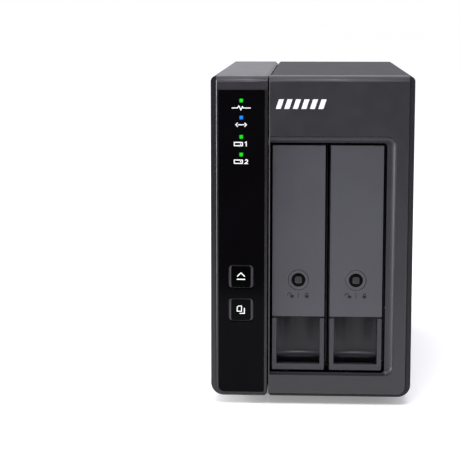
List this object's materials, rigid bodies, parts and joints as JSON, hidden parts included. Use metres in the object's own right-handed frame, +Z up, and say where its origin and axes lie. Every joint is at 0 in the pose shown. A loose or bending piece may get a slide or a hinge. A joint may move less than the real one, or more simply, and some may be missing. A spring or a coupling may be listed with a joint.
{
  "type": "network attached storage",
  "caption": "Upright desktop drive enclosure: dark case with a glossy control strip, lever-locked drive trays behind a recessed bay opening, rear fan and cable sockets.",
  "frame": {"origin": "centre of the case's footprint, on the plane that the rubber feet stand on", "axes": "+Z up, the front with the trays faces -Y, +X to the right seen from the front"},
  "size_m": [0.102, 0.219, 0.1685],
  "materials": {
    "cover_left": "satin moulded plastic, slightly lighter",
    "cover_right": "fine-textured moulded plastic",
    "bezel_plastic": "fine-textured moulded plastic",
    "strip_plastic": "polished moulded plastic",
    "window_gloss": "polished black, mirror-like",
    "light_lens": "clear tinted light pipe",
    "button_gloss": "polished black",
    "tray_plastic": "fine-textured moulded plastic",
    "lever_plastic": "fine-textured moulded plastic, lighter grey",
    "frame_plastic": "moulded plastic",
    "lock_plastic": "polished moulded plastic",
    "rubber": "matt rubber",
    "rear_steel": "textured black powder coat",
    "cage_steel": "dark powder-coated sheet",
    "guard_steel": "plated steel",
    "screw_steel": "plated",
    "screw_black": "black oxide",
    "brass": "turned",
    "circuit_board": "solder mask",
    "chip": "epoxy",
    "socket_ivory": "moulded nylon",
    "socket_black": "moulded nylon",
    "connector_steel": "stamped shell",
    "heatsink": "extruded",
    "switch_metal": "stamped",
    "dip_red": "moulded",
    "white_plastic": "moulded",
    "fan_plastic": "glass-filled plastic",
    "drive_cast": "cast",
    "drive_lid": "brushed plate",
    "cable_jacket": "matt jacket"
  },
  "bodies": {
    "chassis": {"left_cover": "cover_left", "right_cover": "cover_right", "front_bezel": "bezel_plastic", "led_panel": "strip_plastic", "front_window": "window_gloss", "led_lenses": "light_lens", "led_board": "circuit_board", "tact_switches": "switch_metal", "rear_panel": "rear_steel", "rubber_feet": "rubber", "cage_base": "cage_steel", "cage_top": "cage_steel", "cage_left_wall": "cage_steel", "cage_right_wall": "cage_steel", "cage_divider": "cage_steel", "main_board": "circuit_board", "usb_c_port": "connector_steel", "dc_jack": "socket_black", "dip_switch": "dip_red", "heatsink": "heatsink", "board_chips": "chip", "board_connectors": "socket_ivory", "backplane_board": "circuit_board", "sata_sockets": "socket_black", "fan_frame": "fan_plastic", "fan_guard": "guard_steel", "fan_screws": "screw_steel", "panel_screws": "screw_black", "standoffs": "brass", "board_screws": "screw_steel", "fan_cable": "cable_jacket", "cage_screws": "screw_steel"},
    "tray_1": {"tray_front_1": "tray_plastic", "tray_plate_1": "frame_plastic", "tray_rails_1": "frame_plastic", "hdd_body_1": "drive_cast", "hdd_lid_1": "drive_lid", "hdd_board_1": "circuit_board", "drive_screws_1": "screw_steel", "lever_pin_1": "screw_steel"},
    "lever_arm_1": {"lever_1": "lever_plastic", "lock_ring_1": "lever_plastic"},
    "lock_plug_1": {"lock_1": "lock_plastic"},
    "tray_2": {"tray_front_2": "tray_plastic", "tray_plate_2": "frame_plastic", "tray_rails_2": "frame_plastic", "hdd_body_2": "drive_cast", "hdd_lid_2": "drive_lid", "hdd_board_2": "circuit_board", "drive_screws_2": "screw_steel", "lever_pin_2": "screw_steel"},
    "lever_arm_2": {"lever_2": "lever_plastic", "lock_ring_2": "lever_plastic"},
    "lock_plug_2": {"lock_2": "lock_plastic"},
    "eject_button": {"eject_button": "button_gloss"},
    "copy_button": {"copy_button": "button_gloss"},
    "set_button": {"set_button": "white_plastic"},
    "dip_slider_1": {"dip_slider_1": "white_plastic"},
    "dip_slider_2": {"dip_slider_2": "white_plastic"},
    "rotor": {"fan_rotor": "fan_plastic"}
  },
  "joints": [
    {"name": "tray_1_slide", "type": "slide", "parent": "chassis", "child": "tray_1", "axis": [0, -1, 0], "range_m": [0, 0.18]},
    {"name": "lever_1_hinge", "type": "hinge", "parent": "tray_1", "child": "lever_arm_1", "pos_m": [-0.0065, -0.1029, 0.128], "axis": [-1, 0, 0], "range_deg": [0, 60]},
    {"name": "lock_1_turn", "type": "hinge", "parent": "lever_arm_1", "child": "lock_plug_1", "pos_m": [-0.0065, -0.105, 0.0649], "axis": [0, 1, 0], "range_deg": [0, 90]},
    {"name": "tray_2_slide", "type": "slide", "parent": "chassis", "child": "tray_2", "axis": [0, -1, 0], "range_m": [0, 0.18]},
    {"name": "lever_2_hinge", "type": "hinge", "parent": "tray_2", "child": "lever_arm_2", "pos_m": [0.0228, -0.1029, 0.128], "axis": [-1, 0, 0], "range_deg": [0, 60]},
    {"name": "lock_2_turn", "type": "hinge", "parent": "lever_arm_2", "child": "lock_plug_2", "pos_m": [0.0228, -0.105, 0.0649], "axis": [0, 1, 0], "range_deg": [0, 90]},
    {"name": "eject_button_press", "type": "slide", "parent": "chassis", "child": "eject_button", "axis": [0, 1, 0], "range_m": [0, 0.001], "stiffness_N_per_m": 600},
    {"name": "copy_button_press", "type": "slide", "parent": "chassis", "child": "copy_button", "axis": [0, 1, 0], "range_m": [0, 0.001], "stiffness_N_per_m": 600},
    {"name": "set_button_press", "type": "slide", "parent": "chassis", "child": "set_button", "axis": [0, -1, 0], "range_m": [0, 0.0008], "stiffness_N_per_m": 500},
    {"name": "dip_slider_1_slide", "type": "slide", "parent": "chassis", "child": "dip_slider_1", "axis": [1, 0, 0], "range_m": [0, 0.002]},
    {"name": "dip_slider_2_slide", "type": "slide", "parent": "chassis", "child": "dip_slider_2", "axis": [1, 0, 0], "range_m": [0, 0.002]},
    {"name": "fan_spin", "type": "hinge", "parent": "chassis", "child": "rotor", "pos_m": [0.0075, 0.0925, 0.114], "axis": [0, 1, 0], "continuous": true}
  ]
}
